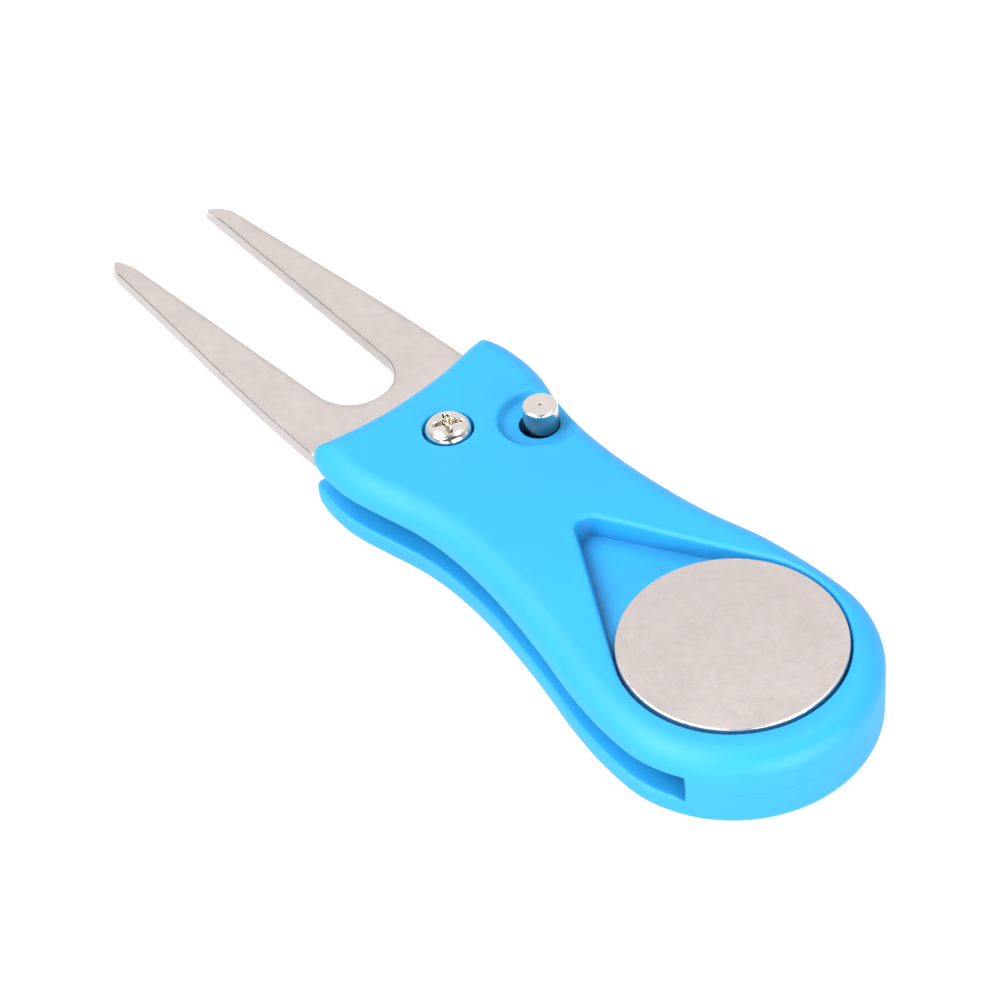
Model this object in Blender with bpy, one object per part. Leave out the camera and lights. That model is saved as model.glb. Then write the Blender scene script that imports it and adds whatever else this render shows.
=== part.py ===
"""Folding divot repair tool: a two-shell handle, a spring-opened fork and a ball marker.

Everything is in metres. Z = 0 is the flat underside of the handle. The fork's centre line is Y = 0,
the open fork points to -X, and the side slot that the fork folds into faces -Y. The origin is on the
underside, half-way along the handle.
"""
import math

import bmesh
import bpy
from mathutils import Vector

MM = 0.001
GAP = 0.3 * MM                      # left between pieces that touch

# Plan positions
PIVOT = Vector((-26.8, 0.0)) * MM
MARKER = Vector((20.5, 0.0)) * MM
BUTTON_RADIUS_OUT = 10.6 * MM       # button centre, from the pivot
BUTTON_BEARING = 54.2               # degrees from +X about the pivot
CLOSED_ANGLE = 175.0                # degrees from open to folded

# Heights
PARTING_Z = 4.9 * MM
SLOT_BOTTOM_Z = 3.1 * MM
SLOT_TOP_Z = 6.7 * MM
TOP_Z = 9.8 * MM
FLOOR_Z = 8.0 * MM                  # floor of the marker recess
DISH_Z = 8.6 * MM                   # floor of the dish round the button

# Handle
HALF_LENGTH = 37.1 * MM
HALF_WIDTH = 16.7 * MM
HANDLE_CENTRE_X = 0.1 * MM
BULB_CENTRE = Vector((21.15, -0.65)) * MM
BULB_RADIUS = 16.2 * MM
MOUTH_X = -35.3 * MM                # middle of the hollow front edge
MOUTH_CENTRE_Y = -1.3 * MM
MOUTH_CURVE = 10.5                  # 1/m, how fast the front edge runs forward to its corners
TOP_ROUND = 3.0 * MM
BOTTOM_ROUND = 1.5 * MM
SIDE_DRAFT = 0.1 * MM
CROWN = 0.9 * MM                    # rise of the top between pivot and marker
CROWN_X = -4.0 * MM
CROWN_SPREAD = 14.0 * MM
OUTLINE_STEPS = 4

# Fork
FORK_BOTTOM_Z = 4.3 * MM
FORK_THICKNESS = 1.9 * MM
HUB_RADIUS = 8.9 * MM
FORK_ROOT = 10.7 * MM               # from the pivot to where the straight flanks begin
FORK_ROOT_HALF = 11.85 * MM
TIP_START = 52.7 * MM
TIP_START_HALF = 8.97 * MM
TIP_REACH = 57.2 * MM
TIP_HALF = 7.15 * MM
CROTCH_REACH = 13.1 * MM
CROTCH_STRAIGHT = 18.7 * MM
CROTCH_HALF = 5.07 * MM
TINE_GAP_SPREAD = 0.0447            # growth of the half gap along the tines
FORK_EDGE_BEVEL = 0.15 * MM
FORK_CLEARANCE = 0.35 * MM
SWEEP_RADIUS = 57.7 * MM            # end wall of the slot
BACK_POCKET_RADIUS = 13.5 * MM      # slot wall behind the hub

# Pivot hardware
SLEEVE_RADIUS = 2.4 * MM
SLEEVE_BORE = 1.7 * MM
SHANK_RADIUS = 1.4 * MM
NUT_HEAD_RADIUS = 3.1 * MM
NUT_HEAD_Z = (0.2 * MM, 1.0 * MM)
NUT_RECESS_Z = 1.3 * MM
SLEEVE_TOP_Z = 7.6 * MM
SCREW_HEAD_RADIUS = 2.65 * MM
COUNTERBORE_RADIUS = 3.05 * MM
COUNTERBORE_Z = 8.1 * MM
WASHER_RADIUS = 5.6 * MM
WASHER_Z = (6.5 * MM, 7.0 * MM)
WASHER_RECESS_Z = 7.3 * MM
SPRING_COIL_RADIUS = 3.7 * MM
SPRING_WIRE = 0.8 * MM
SPRING_TURNS = 2.25
SPRING_RECESS_RADIUS = 4.6 * MM
SPRING_RECESS_Z = 1.6 * MM
HUB_HOLE_REACH = 6.4 * MM           # hole that takes the spring's upper leg
HUB_HOLE_RADIUS = 0.7 * MM

# Button
STEM_RADIUS = 2.05 * MM
STEM_HOLE_RADIUS = 2.35 * MM
NECK_RADIUS = 1.3 * MM
COLLAR_RADIUS = 2.3 * MM
COLLAR_Z = (3.2 * MM, 4.0 * MM)
NECK_TOP_Z = 8.5 * MM
BUTTON_TOP_Z = 11.9 * MM
BUTTON_POCKET_RADIUS = 2.7 * MM
BUTTON_POCKET_Z = 0.6 * MM
NOTCH_RADIUS = 2.5 * MM
DISH_FLAT = 3.4 * MM                # radius of the dish floor
DISH_RISE = 550.0                   # 1/m, how fast its side curves up
DISH_LIMIT = 6.4 * MM

# Marker
MARKER_RADIUS = 12.5 * MM
MARKER_THICKNESS = 1.5 * MM
POCKET_RADIUS = 12.75 * MM
POCKET_DRAFT = 0.3 * MM
APEX_X = -6.5 * MM                  # where the two straight walls would meet
APEX_ROUND = 1.8 * MM
MAGNET_RADIUS = 4.0 * MM
MAGNET_Z = (6.95 * MM, 7.95 * MM)

# Shell screw, at the round end
END_SCREW = Vector((33.2, -0.6)) * MM
END_SCREW_RADIUS = 0.8 * MM
END_HEAD_RADIUS = 1.7 * MM
END_RECESS_Z = 1.5 * MM
END_SCREW_TOP_Z = 8.2 * MM
DOWEL_RADIUS = 0.9 * MM
DOWEL_TOP_Z = 6.2 * MM
DOWEL_OFFSET_Y = 6.4 * MM

BLUE = (0.05, 0.42, 0.86)
STEEL = (0.66, 0.62, 0.60)
NICKEL = (0.78, 0.75, 0.71)
DARK_STEEL = (0.30, 0.30, 0.31)
NYLON = (0.85, 0.84, 0.80)


# ---------------------------------------------------------------- helpers

def clear_scene():
    for scene_object in list(bpy.data.objects):
        bpy.data.objects.remove(scene_object, do_unlink=True)


def make_material(name, colour, roughness, metallic=0.0):
    material = bpy.data.materials.new(name)
    material.use_nodes = True
    shader = material.node_tree.nodes["Principled BSDF"]
    shader.inputs["Base Color"].default_value = (*colour, 1.0)
    shader.inputs["Roughness"].default_value = roughness
    shader.inputs["Metallic"].default_value = metallic
    return material


def add_object(name, data, material=None, location=(0.0, 0.0, 0.0)):
    piece = bpy.data.objects.new(name, data)
    piece.location = location
    bpy.context.scene.collection.objects.link(piece)
    if material:
        data.materials.append(material)
    return piece


def mesh_from(name, form):
    bmesh.ops.recalc_face_normals(form, faces=form.faces)
    mesh = bpy.data.meshes.new(name)
    form.to_mesh(mesh)
    form.free()
    mesh.shade_smooth()
    mesh.set_sharp_from_angle(angle=math.radians(35))
    return mesh


def skin(name, loops, curved_top=False):
    """Closed solid through loops with the same number of points, with both ends filled.

    A last loop that isn't flat is filled with well-shaped triangles."""
    form = bmesh.new()
    rings = [[form.verts.new(point) for point in loop] for loop in loops]
    count = len(loops[0])
    for low, high in zip(rings, rings[1:]):
        for i in range(count):
            k = (i + 1) % count
            form.faces.new((low[i], low[k], high[k], high[i]))
    form.faces.new(rings[0])
    cap = form.faces.new(rings[-1])
    if curved_top:
        bmesh.ops.triangulate(form, faces=[cap], ngon_method="BEAUTY")
    return mesh_from(name, form)


def prism(name, outline, z_low, z_high):
    return skin(name, [[(x, y, z) for x, y in outline] for z in (z_low, z_high)])


def turned(name, profile, steps=32):
    """Solid of revolution about Z from (radius, z) points; points at radius 0 close it."""
    form = bmesh.new()
    rings = []
    for radius, z in profile:
        if radius == 0.0:
            rings.append([form.verts.new((0.0, 0.0, z))] * steps)
        else:
            angles = [2.0 * math.pi * i / steps for i in range(steps)]
            rings.append([form.verts.new((radius * math.cos(a), radius * math.sin(a), z)) for a in angles])
    if profile[0][0] > 0.0:
        rings.append(rings[0])
    for low, high in zip(rings, rings[1:]):
        for i in range(steps):
            k = (i + 1) % steps
            corners = []
            for vert in (low[i], low[k], high[k], high[i]):
                if vert not in corners:
                    corners.append(vert)
            form.faces.new(corners)
    return mesh_from(name, form)


def cut(piece, cutter):
    """Boolean difference with a wire cutter that is not part of the model."""
    cutter.hide_render = True
    cutter.display_type = "WIRE"
    modifier = piece.modifiers.new("cut_" + cutter.name, "BOOLEAN")
    modifier.operation = "DIFFERENCE"
    modifier.solver = "EXACT"
    modifier.object = cutter


def cut_bore(piece, name, centre, steps_up, steps=32):
    """Stepped round hole: (radius, z_low, z_high) for each stretch, from the bottom up."""
    profile = [(0.0, steps_up[0][1])]
    for radius, z_low, z_high in steps_up:
        profile += [(radius, z_low), (radius, z_high)]
    profile.append((0.0, steps_up[-1][2]))
    cutter = add_object("cutter_" + name, turned("cutter_" + name, profile, steps), location=(*centre, 0.0))
    cut(piece, cutter)


def cut_prism(piece, name, outline, z_low, z_high):
    cutter = add_object("cutter_" + name, prism("cutter_" + name, outline, z_low, z_high))
    cut(piece, cutter)


def arc(centre, radius, start, end, steps):
    """Points from start to end, in degrees, both included."""
    points = []
    for i in range(steps + 1):
        angle = math.radians(start + (end - start) * i / steps)
        points.append((centre[0] + radius * math.cos(angle), centre[1] + radius * math.sin(angle)))
    return points


def smooth_loop(points, steps):
    """Closed Catmull-Rom curve through the points."""
    curve = []
    count = len(points)
    for i in range(count):
        before, start, end, after = (Vector(points[(i + k) % count]) for k in (-1, 0, 1, 2))
        for j in range(steps):
            t = j / steps
            pull = (end - before) * (t - 2 * t * t + t ** 3) + (after - start) * (t ** 3 - t * t)
            spot = start * (1 - 3 * t * t + 2 * t ** 3) + end * (3 * t * t - 2 * t ** 3) + pull * 0.5
            curve.append((spot.x, spot.y))
    return curve


def wire_coil(name, centre, points, wire, material):
    """Round wire along a list of points."""
    curve = bpy.data.curves.new(name, "CURVE")
    curve.dimensions = "3D"
    curve.bevel_depth = wire / 2
    curve.bevel_resolution = 1
    curve.use_fill_caps = True
    spline = curve.splines.new("POLY")
    spline.points.add(len(points) - 1)
    for spot, point in zip(spline.points, points):
        spot.co = (*point, 1.0)
    return add_object(name, curve, material, (*centre, 0.0))


def button_centre():
    bearing = math.radians(BUTTON_BEARING)
    return PIVOT + Vector((math.cos(bearing), math.sin(bearing))) * BUTTON_RADIUS_OUT


# ---------------------------------------------------------------- handle shells

def handle_outline():
    """Plan of the handle: far flank, hollow front edge, near flank and the round end."""
    far = [(10.8, 14.75), (3.3, 13.0), (-3.0, 12.1), (-9.5, 11.75), (-16.7, 12.15), (-22.7, 13.3),
           (-27.2, 14.65), (-31.2, 15.1), (-34.6, 14.9), (-36.9, 14.0)]
    near = [(-36.35, -12.3), (-34.2, -13.35), (-30.3, -13.8), (-27.0, -13.6), (-23.4, -12.9),
            (-18.0, -11.85), (-12.5, -11.55), (-6.0, -12.0), (0.0, -12.95), (6.0, -14.2), (12.0, -15.65)]
    front = []
    for y in (12.0, 6.0, -1.3, -6.0, -10.2):
        run = y * MM - MOUTH_CENTRE_Y
        front.append((MOUTH_X - MOUTH_CURVE * run * run, y * MM))
    flanks = [(x * MM, y * MM) for x, y in far] + front + [(x * MM, y * MM) for x, y in near]
    round_end = arc(BULB_CENTRE, BULB_RADIUS, -100.0, 95.0, 9)
    return smooth_loop(flanks + round_end, OUTLINE_STEPS)


def inset_loop(outline, inset, z):
    """The outline drawn in towards the middle of the handle, at a height or a height function."""
    along = 1.0 - inset / HALF_LENGTH
    across = 1.0 - inset / HALF_WIDTH
    loop = []
    for x, y in outline:
        px = HANDLE_CENTRE_X + (x - HANDLE_CENTRE_X) * along
        loop.append((px, y * across, z(px) if callable(z) else z))
    return loop


def upper_form(outline):
    """Side, rounded shoulder and crowned top of the upper shell."""
    loops = [inset_loop(outline, 0.0, PARTING_Z + GAP / 2), inset_loop(outline, SIDE_DRAFT, SLOT_TOP_Z)]
    shoulder_steps = 4
    for i in range(1, shoulder_steps + 1):
        angle = math.pi / 2 * i / shoulder_steps
        inset = SIDE_DRAFT + TOP_ROUND * (1.0 - math.cos(angle))
        loops.append(inset_loop(outline, inset, SLOT_TOP_Z + (TOP_Z - SLOT_TOP_Z) * math.sin(angle)))
    for inset in (6.0 * MM, 9.5 * MM, 13.5 * MM):
        share = (HALF_WIDTH - inset) / (HALF_WIDTH - TOP_ROUND)

        def crowned(x, share=share):
            hump = math.exp(-((x - CROWN_X) / CROWN_SPREAD) ** 2)
            return TOP_Z + CROWN * hump * (1.0 - share * share)

        loops.append(inset_loop(outline, inset, crowned))
    return skin("upper_shell", loops, curved_top=True)


def lower_form(outline):
    """Flat underside, rounded lower edge and side of the lower shell."""
    loops = []
    edge_steps = 4
    for i in range(edge_steps + 1):
        angle = math.pi / 2 * (1.0 - i / edge_steps)
        inset = SIDE_DRAFT + BOTTOM_ROUND * (1.0 - math.cos(angle))
        loops.append(inset_loop(outline, inset, BOTTOM_ROUND * (1.0 - math.sin(angle))))
    loops.append(inset_loop(outline, 0.0, PARTING_Z - GAP / 2))
    return skin("lower_shell", loops)


def flank_half(reach):
    """Half width of the fork at a distance from the pivot, along its outer flank."""
    t = (reach - FORK_ROOT) / (TIP_START - FORK_ROOT)
    slope = (TIP_START - FORK_ROOT) * (t - 2 * t * t + t ** 3) * -0.02
    slope += (TIP_START - FORK_ROOT) * (t ** 3 - t * t) * -0.07
    blend = 3 * t * t - 2 * t ** 3
    return FORK_ROOT_HALF * (1 - blend) + TIP_START_HALF * blend + slope


def folded(reach, half):
    """Where a fork point lies when the fork is folded; half > 0 is the flank away from the slot."""
    angle = math.radians(CLOSED_ANGLE - 180.0)
    x = reach * math.cos(angle) - half * math.sin(angle)
    y = reach * math.sin(angle) + half * math.cos(angle)
    return (PIVOT.x + x, PIVOT.y + y)


def slot_outline():
    """Plan of the space that the fork sweeps, open to the front and to the slot side."""
    outside = 60.0 * MM
    entry_y = FORK_ROOT_HALF + FORK_CLEARANCE
    entry = math.degrees(math.asin(entry_y / BACK_POCKET_RADIUS))
    points = [(PIVOT.x - outside, entry_y)]
    points += arc(PIVOT, BACK_POCKET_RADIUS, 180.0 - entry, 49.0, 10)
    points += arc(PIVOT, Vector((FORK_ROOT, FORK_ROOT_HALF)).length + FORK_CLEARANCE, 46.0, 42.5, 2)
    for reach in (14.0, 24.0, 34.0, 44.0, 52.0):
        points.append(folded(reach * MM, flank_half(reach * MM) + FORK_CLEARANCE))
    points += arc(PIVOT, SWEEP_RADIUS, 5.5, -22.0, 10)
    points += [(outside, -outside), (PIVOT.x - outside, -outside)]
    return points


def teardrop(margin):
    """Round marker pocket with two straight walls running to a rounded apex."""
    radius = POCKET_RADIUS + margin
    apex_x = APEX_X - margin * (MARKER.x - APEX_X) / POCKET_RADIUS
    half_angle = math.degrees(math.asin(radius / (MARKER.x - apex_x)))
    tangent = 90.0 + half_angle
    points = arc(MARKER, radius, -tangent, tangent, 40)
    apex_centre = (apex_x + APEX_ROUND / math.sin(math.radians(half_angle)), 0.0)
    points += arc(apex_centre, APEX_ROUND, tangent, 360.0 - tangent, 8)
    return points


def dish_profile():
    """Stem hole that opens into a round dish with a flat floor, closed above the top."""
    profile = [(0.0, PARTING_Z), (STEM_HOLE_RADIUS, PARTING_Z), (STEM_HOLE_RADIUS, DISH_Z)]
    steps = 6
    for i in range(steps + 1):
        out = (DISH_LIMIT - DISH_FLAT) * i / steps
        profile.append((DISH_FLAT + out, DISH_Z + DISH_RISE * out * out))
    profile += [(DISH_LIMIT, TOP_Z + 6.0 * MM), (0.0, TOP_Z + 6.0 * MM)]
    return profile


def dowel_centres():
    """Two dowels in the solid crescent past the slot's end."""
    x = END_SCREW.x - 0.9 * MM
    return [(x, END_SCREW.y - DOWEL_OFFSET_Y), (x, END_SCREW.y + DOWEL_OFFSET_Y)]


def make_upper_shell(outline, plastic):
    shell = add_object("upper_shell", upper_form(outline), plastic)
    over = TOP_Z + 3.0 * MM
    cut_prism(shell, "upper_slot", slot_outline(), PARTING_Z - GAP, SLOT_TOP_Z)
    draft = [[(x, y, z) for x, y in teardrop(margin)] for margin, z in ((-POCKET_DRAFT / 2, FLOOR_Z),
                                                                       (POCKET_DRAFT / 2, TOP_Z),
                                                                       (POCKET_DRAFT / 2, over))]
    cut(shell, add_object("cutter_teardrop", skin("cutter_teardrop", draft)))
    cut_bore(shell, "magnet_hole", MARKER, [(MAGNET_RADIUS + GAP, SLOT_TOP_Z - 1.0 * MM, over)])
    cut_bore(shell, "upper_pivot", PIVOT, [(WASHER_RADIUS + GAP, PARTING_Z, WASHER_RECESS_Z),
                                           (SLEEVE_RADIUS + GAP, WASHER_RECESS_Z, COUNTERBORE_Z),
                                           (COUNTERBORE_RADIUS, COUNTERBORE_Z, over)])
    dish = add_object("cutter_dish", turned("cutter_dish", dish_profile(), 48))
    dish.location = (*button_centre(), 0.0)
    cut(shell, dish)
    cut_bore(shell, "upper_screw_hole", END_SCREW,
             [(END_SCREW_RADIUS + GAP, PARTING_Z - GAP, END_SCREW_TOP_Z + GAP)], 16)
    for side, centre in zip(("near", "far"), dowel_centres()):
        cut_bore(shell, side + "_dowel_hole", centre,
                 [(DOWEL_RADIUS + GAP, PARTING_Z - GAP, DOWEL_TOP_Z + GAP)], 16)
    return shell


def make_lower_shell(outline, plastic):
    shell = add_object("lower_shell", lower_form(outline), plastic)
    under = -3.0 * MM
    cut_prism(shell, "lower_slot", slot_outline(), SLOT_BOTTOM_Z, PARTING_Z + GAP)
    cut_bore(shell, "lower_pivot", PIVOT, [(NUT_HEAD_RADIUS + GAP, under, NUT_RECESS_Z),
                                           (SLEEVE_RADIUS + GAP, NUT_RECESS_Z, SPRING_RECESS_Z),
                                           (SPRING_RECESS_RADIUS, SPRING_RECESS_Z, PARTING_Z)])
    cut_bore(shell, "button_pocket", button_centre(), [(BUTTON_POCKET_RADIUS, BUTTON_POCKET_Z, PARTING_Z)])
    cut_bore(shell, "lower_screw_hole", END_SCREW, [(END_HEAD_RADIUS + GAP, under, END_RECESS_Z),
                                                    (END_SCREW_RADIUS + GAP, END_RECESS_Z, PARTING_Z + GAP)], 24)
    for side, centre in zip(("near", "far"), dowel_centres()):
        dowel = turned(side + "_dowel", [(0.0, PARTING_Z - 1.0 * MM), (DOWEL_RADIUS, PARTING_Z - 1.0 * MM),
                                         (DOWEL_RADIUS, DOWEL_TOP_Z), (0.0, DOWEL_TOP_Z)], 16)
        guide = add_object("joined_" + side + "_dowel", dowel, location=(*centre, 0.0))
        guide.hide_render = True
        guide.display_type = "WIRE"
        modifier = shell.modifiers.new(side + "_dowel", "BOOLEAN")
        modifier.operation = "UNION"
        modifier.solver = "EXACT"
        modifier.object = guide
    return shell


# ---------------------------------------------------------------- fork

def fork_half():
    """Half of the fork's plan as (reach, half width), from behind the hub to the crotch."""
    points = arc((0.0, 0.0), HUB_RADIUS, 180.0, 44.0, 14)
    points += [(8.3 * MM, 8.0 * MM), (9.9 * MM, 11.0 * MM), (10.2 * MM, 11.55 * MM)]
    flank_steps = 8
    for i in range(flank_steps + 1):
        reach = FORK_ROOT + (TIP_START - FORK_ROOT) * i / flank_steps
        points.append((reach, flank_half(reach)))
    tip_depth = TIP_REACH - TIP_START
    for angle in (35.0, 55.0, 75.0):
        turn = math.radians(angle)
        points.append((TIP_START + tip_depth * math.sin(turn),
                       TIP_HALF + (TIP_START_HALF - TIP_HALF) * math.cos(turn)))
    points += [(TIP_REACH, TIP_HALF), (TIP_REACH - 0.2 * MM, TIP_HALF - 0.3 * MM)]
    inner_end = TIP_REACH - 1.0 * MM
    for reach in (inner_end, CROTCH_STRAIGHT):
        points.append((reach, CROTCH_HALF + (reach - CROTCH_STRAIGHT) * TINE_GAP_SPREAD))
    depth = CROTCH_STRAIGHT - CROTCH_REACH
    for angle in (15.0, 30.0, 45.0, 60.0, 75.0):
        turn = math.radians(angle)
        points.append((CROTCH_STRAIGHT - depth * math.sin(turn), CROTCH_HALF * math.cos(turn) ** 0.9))
    return points


def make_fork(steel):
    half = fork_half()
    outline = [(-reach, -width) for reach, width in half] + [(-CROTCH_REACH, 0.0)]
    outline += [(-reach, width) for reach, width in reversed(half[1:])]
    fork = add_object("fork", prism("fork", outline, FORK_BOTTOM_Z, FORK_BOTTOM_Z + FORK_THICKNESS), steel)
    fork.location = (*PIVOT, 0.0)
    bevel = fork.modifiers.new("edge_bevel", "BEVEL")
    bevel.width = FORK_EDGE_BEVEL
    bevel.segments = 1
    bevel.limit_method = "ANGLE"
    bevel.angle_limit = math.radians(50)
    low, high = FORK_BOTTOM_Z - 1.0 * MM, FORK_BOTTOM_Z + FORK_THICKNESS + 1.0 * MM
    cut_bore(fork, "fork_bore", PIVOT, [(SLEEVE_RADIUS + GAP, low, high)])
    leg_spot = PIVOT - Vector((HUB_HOLE_REACH, 0.0))
    cut_bore(fork, "spring_leg_hole", leg_spot, [(HUB_HOLE_RADIUS, low, high)], 16)
    offset = button_centre() - PIVOT
    for name, turn in (("open_notch", 0.0), ("closed_notch", -math.radians(CLOSED_ANGLE))):
        spot = Vector((offset.x * math.cos(turn) - offset.y * math.sin(turn),
                       offset.x * math.sin(turn) + offset.y * math.cos(turn)))
        cut_bore(fork, name, PIVOT + spot, [(NOTCH_RADIUS, low, high)])
    return fork


# ---------------------------------------------------------------- hardware

def make_pivot_nut(nickel):
    low, high = NUT_HEAD_Z
    floor = low + 0.5 * MM
    profile = [(0.0, low), (NUT_HEAD_RADIUS - 0.3 * MM, low), (NUT_HEAD_RADIUS, low + 0.3 * MM),
               (NUT_HEAD_RADIUS, high), (SLEEVE_RADIUS, high), (SLEEVE_RADIUS, SLEEVE_TOP_Z),
               (SLEEVE_BORE, SLEEVE_TOP_Z), (SLEEVE_BORE, floor), (0.0, floor)]
    return add_object("pivot_nut", turned("pivot_nut", profile), nickel, (*PIVOT, 0.0))


def make_pivot_screw(nickel):
    base = COUNTERBORE_Z + GAP
    rim = TOP_Z - 0.15 * MM
    dome_rise = 1.15 * MM
    profile = [(0.0, SLOT_BOTTOM_Z), (SHANK_RADIUS - 0.3 * MM, SLOT_BOTTOM_Z),
               (SHANK_RADIUS, SLOT_BOTTOM_Z + 0.3 * MM), (SHANK_RADIUS, base), (SCREW_HEAD_RADIUS, base),
               (SCREW_HEAD_RADIUS, rim)]
    for share in (0.92, 0.7, 0.4):
        profile.append((SCREW_HEAD_RADIUS * share, rim + dome_rise * math.sqrt(1.0 - share ** 2)))
    profile.append((0.0, rim + dome_rise))
    screw = add_object("pivot_screw", turned("pivot_screw", profile), nickel, (*PIVOT, 0.0))
    cut_cross(screw, "pivot_cross", PIVOT, rim + dome_rise, 1.6 * MM, 0.45 * MM, 0.9 * MM)
    return screw


def cut_cross(piece, name, centre, top, reach, half_slot, depth):
    """Cross recess: two tapered slots at right angles."""
    for label, along in (("a", Vector((1.0, 0.0))), ("b", Vector((0.0, 1.0)))):
        across = Vector((-along.y, along.x))
        loops = []
        for z, length, width in ((top - depth, reach * 0.5, half_slot * 0.6), (top + 0.5 * MM, reach, half_slot)):
            corners = [along * a * length + across * b * width for a, b in ((-1, -1), (1, -1), (1, 1), (-1, 1))]
            loops.append([(corner.x, corner.y, z) for corner in corners])
        cutter = add_object("cutter_" + name + "_" + label, skin("cutter_" + name + "_" + label, loops))
        cutter.location = (*centre, 0.0)
        cut(piece, cutter)


def make_pivot_washer(nylon):
    low, high = WASHER_Z
    bore = SLEEVE_RADIUS + GAP
    profile = [(WASHER_RADIUS, high), (WASHER_RADIUS, low), (bore, low), (bore, high)]
    return add_object("pivot_washer", turned("pivot_washer", profile), nylon, (*PIVOT, 0.0))


def make_torsion_spring(wire_steel):
    """Close-wound coil round the sleeve with a short leg that ends under the fork's hole."""
    base = SPRING_RECESS_Z + SPRING_WIRE / 2 + 0.1 * MM
    pitch = SPRING_WIRE + 0.02 * MM
    steps = 20
    total = int(SPRING_TURNS * steps)
    points = []
    for i in range(total + 1):
        angle = math.pi + 2.0 * math.pi * (i - total) / steps
        points.append((SPRING_COIL_RADIUS * math.cos(angle), SPRING_COIL_RADIUS * math.sin(angle),
                       base + pitch * i / steps))
    return wire_coil("torsion_spring", PIVOT, points, SPRING_WIRE, wire_steel)


def make_lock_button(nickel):
    low, high = COLLAR_Z
    edge = 0.3 * MM
    profile = [(0.0, low), (COLLAR_RADIUS, low), (COLLAR_RADIUS, high), (NECK_RADIUS, high),
               (NECK_RADIUS, NECK_TOP_Z), (STEM_RADIUS, NECK_TOP_Z), (STEM_RADIUS, BUTTON_TOP_Z - edge),
               (STEM_RADIUS - edge, BUTTON_TOP_Z), (0.0, BUTTON_TOP_Z)]
    return add_object("lock_button", turned("lock_button", profile), nickel, (*button_centre(), 0.0))


def make_button_spring(wire_steel):
    """Conical spring under the button's collar."""
    wire = 0.35 * MM
    low = BUTTON_POCKET_Z + wire / 2 + 0.1 * MM
    high = COLLAR_Z[0] - wire / 2 - 0.1 * MM
    turns, steps = 3.0, 14
    total = int(turns * steps)
    points = []
    for i in range(total + 1):
        angle = 2.0 * math.pi * i / steps
        radius = (2.2 - 1.2 * i / total) * MM
        points.append((radius * math.cos(angle), radius * math.sin(angle), low + (high - low) * i / total))
    return wire_coil("button_spring", button_centre(), points, wire, wire_steel)


def make_ball_marker(steel):
    low = TOP_Z - MARKER_THICKNESS
    edge = 0.25 * MM
    profile = [(0.0, low), (MARKER_RADIUS - edge, low), (MARKER_RADIUS, low + edge),
               (MARKER_RADIUS, TOP_Z - edge), (MARKER_RADIUS - edge, TOP_Z), (0.0, TOP_Z)]
    return add_object("ball_marker", turned("ball_marker", profile, 64), steel, (*MARKER, 0.0))


def make_magnet(dark):
    low, high = MAGNET_Z
    profile = [(0.0, low), (MAGNET_RADIUS, low), (MAGNET_RADIUS, high), (0.0, high)]
    return add_object("marker_magnet", turned("marker_magnet", profile), dark, (*MARKER, 0.0))


def make_end_screw(nickel):
    head_top = END_RECESS_Z - GAP
    head_low = 0.3 * MM
    profile = [(0.0, head_low), (END_HEAD_RADIUS - 0.3 * MM, head_low), (END_HEAD_RADIUS, head_low + 0.4 * MM),
               (END_HEAD_RADIUS, head_top), (END_SCREW_RADIUS, head_top), (END_SCREW_RADIUS, 7.4 * MM),
               (0.0, END_SCREW_TOP_Z)]
    screw = add_object("shell_screw", turned("shell_screw", profile, 24), nickel, (*END_SCREW, 0.0))
    reach, half_slot, depth = 1.0 * MM, 0.25 * MM, 0.5 * MM
    for label, along in (("a", Vector((1.0, 0.0))), ("b", Vector((0.0, 1.0)))):
        across = Vector((-along.y, along.x))
        corners = [along * a * reach + across * b * half_slot for a, b in ((-1, -1), (1, -1), (1, 1), (-1, 1))]
        name = "shell_screw_slot_" + label
        cut_prism(screw, name, [(END_SCREW.x + c.x, END_SCREW.y + c.y) for c in corners],
                  head_low - 0.5 * MM, head_low + depth)
    return screw


def main():
    clear_scene()
    plastic = make_material("handle_plastic", BLUE, 0.42)
    fork_steel = make_material("fork_steel", STEEL, 0.38, 1.0)
    marker_steel = make_material("marker_steel", STEEL, 0.34, 1.0)
    nickel = make_material("nickel", NICKEL, 0.16, 1.0)
    wire_steel = make_material("spring_steel", DARK_STEEL, 0.35, 1.0)
    magnet_dark = make_material("magnet", DARK_STEEL, 0.30, 1.0)
    nylon = make_material("nylon", NYLON, 0.5)

    outline = handle_outline()
    make_upper_shell(outline, plastic)
    make_lower_shell(outline, plastic)
    make_fork(fork_steel)
    make_pivot_nut(nickel)
    make_pivot_screw(nickel)
    make_pivot_washer(nylon)
    make_torsion_spring(wire_steel)
    make_lock_button(nickel)
    make_button_spring(wire_steel)
    make_ball_marker(marker_steel)
    make_magnet(magnet_dark)
    make_end_screw(nickel)


main()
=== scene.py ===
"""Looks for the folding divot repair tool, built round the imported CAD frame.

Plan shapes are worked out in millimetres and turned into metres when a mesh is made. The handle
shells, the fork and the screw head are plan meshes: a triangulated plan whose two faces get their
heights from a function of distance to the edges, so every rim has a real rounded edge.
"""

import math

import bmesh
import bpy
import numpy as np
from mathutils import Matrix, Vector
from mathutils.geometry import delaunay_2d_cdt


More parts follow.
